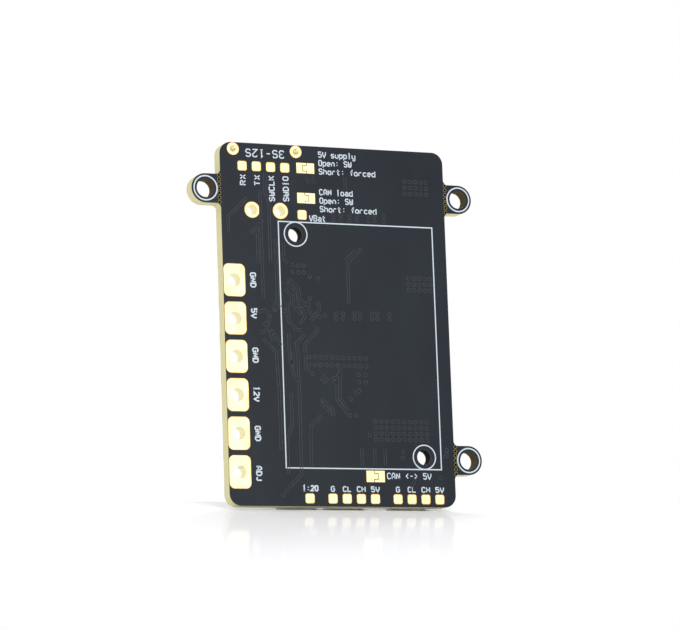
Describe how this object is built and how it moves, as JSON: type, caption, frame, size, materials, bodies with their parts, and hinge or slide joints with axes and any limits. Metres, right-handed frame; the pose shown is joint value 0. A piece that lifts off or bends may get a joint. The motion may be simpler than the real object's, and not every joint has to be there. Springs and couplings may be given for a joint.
{
  "type": "flight controller carrier board",
  "caption": "Thick black circuit board with gold lands and break-off screw ears; carries a plug-on module, battery supplies and bus connectors.",
  "frame": {"origin": "centre of the plate, on the plain solder face", "axes": "+Z along the long edges towards the battery end, +Y through the thickness towards the component side, +X to the right seen from the solder face"},
  "size_m": [0.0506, 0.0059, 0.0604],
  "materials": {
    "laminate": "satin solder mask over woven glass laminate",
    "gold": "soft gold plating",
    "connector_shell": "satin moulded",
    "tin": "tin plated, dull bright",
    "package": "fine matt moulding",
    "switch_shell": "satin moulded",
    "knob": "satin moulded",
    "coil_block": "pressed iron powder",
    "ceramic": "fired ceramic",
    "resistor_film": "glazed film",
    "white_ceramic": "fired ceramic",
    "steel": "drawn sheet",
    "trimmer_case": "satin moulded",
    "brass": "turned",
    "plunger": "satin moulded",
    "lens": "clear yellowish resin"
  },
  "bodies": {
    "carrier": {"battery_leg_lands": "gold", "battery_pin_lands": "gold", "battery_sense_land": "gold", "board": "laminate", "button_frame": "steel", "button_terminals": "tin", "can_transceiver": "package", "can_transceiver_leads": "tin", "connector_left_contacts": "tin", "connector_left_housing": "connector_shell", "connector_left_tabs": "tin", "connector_middle_contacts": "tin", "connector_middle_housing": "connector_shell", "connector_middle_tabs": "tin", "connector_right_contacts": "tin", "connector_right_housing": "connector_shell", "connector_right_tabs": "tin", "crystal_base": "white_ceramic", "crystal_lid": "steel", "debug_lands": "gold", "inductor_12v": "coil_block", "inductor_5v": "coil_block", "inductor_adj": "coil_block", "inductor_terminals": "tin", "jumper_5v_output": "gold", "jumper_can_supply": "gold", "jumper_can_termination": "gold", "lamp_bases": "white_ceramic", "lamp_lenses": "lens", "microcontroller": "package", "microcontroller_leads": "tin", "output_lands": "gold", "regulator_12v": "package", "regulator_5v": "package", "regulator_adj": "package", "regulator_leads": "tin", "resistor_ends": "tin", "resistors": "resistor_film", "shunt": "resistor_film", "shunt_ends": "tin", "signal_lands_left": "gold", "signal_lands_middle": "gold", "signal_lands_right": "gold", "small_capacitor_ends": "tin", "small_capacitors": "ceramic", "supply_capacitor_ends": "tin", "supply_capacitors": "ceramic", "surge_diode": "package", "surge_diode_leads": "tin", "switch_base": "switch_shell", "switch_housing": "switch_shell", "switch_terminals": "tin", "trimmer_body": "trimmer_case", "trimmer_terminals": "tin"},
    "slider_5v": {"switch_slider_5v": "knob"},
    "slider_can": {"switch_slider_can": "knob"},
    "rotor": {"trimmer_rotor": "brass"},
    "plunger": {"button_plunger": "plunger"}
  },
  "joints": [
    {"name": "slider_5v_travel", "type": "slide", "parent": "carrier", "child": "slider_5v", "axis": [0, 0, 1], "range_m": [0, 0.0016]},
    {"name": "slider_can_travel", "type": "slide", "parent": "carrier", "child": "slider_can", "axis": [0, 0, 1], "range_m": [0, 0.0016]},
    {"name": "rotor_turn", "type": "hinge", "parent": "carrier", "child": "rotor", "pos_m": [0.0046, 0.004, 0.0246], "axis": [0, 1, 0], "range_deg": [-130, 130]},
    {"name": "plunger_press", "type": "slide", "parent": "carrier", "child": "plunger", "axis": [0, -1, 0], "range_m": [0, 0.00025], "stiffness_N_per_m": 2000, "springref_m": -0.0001}
  ]
}
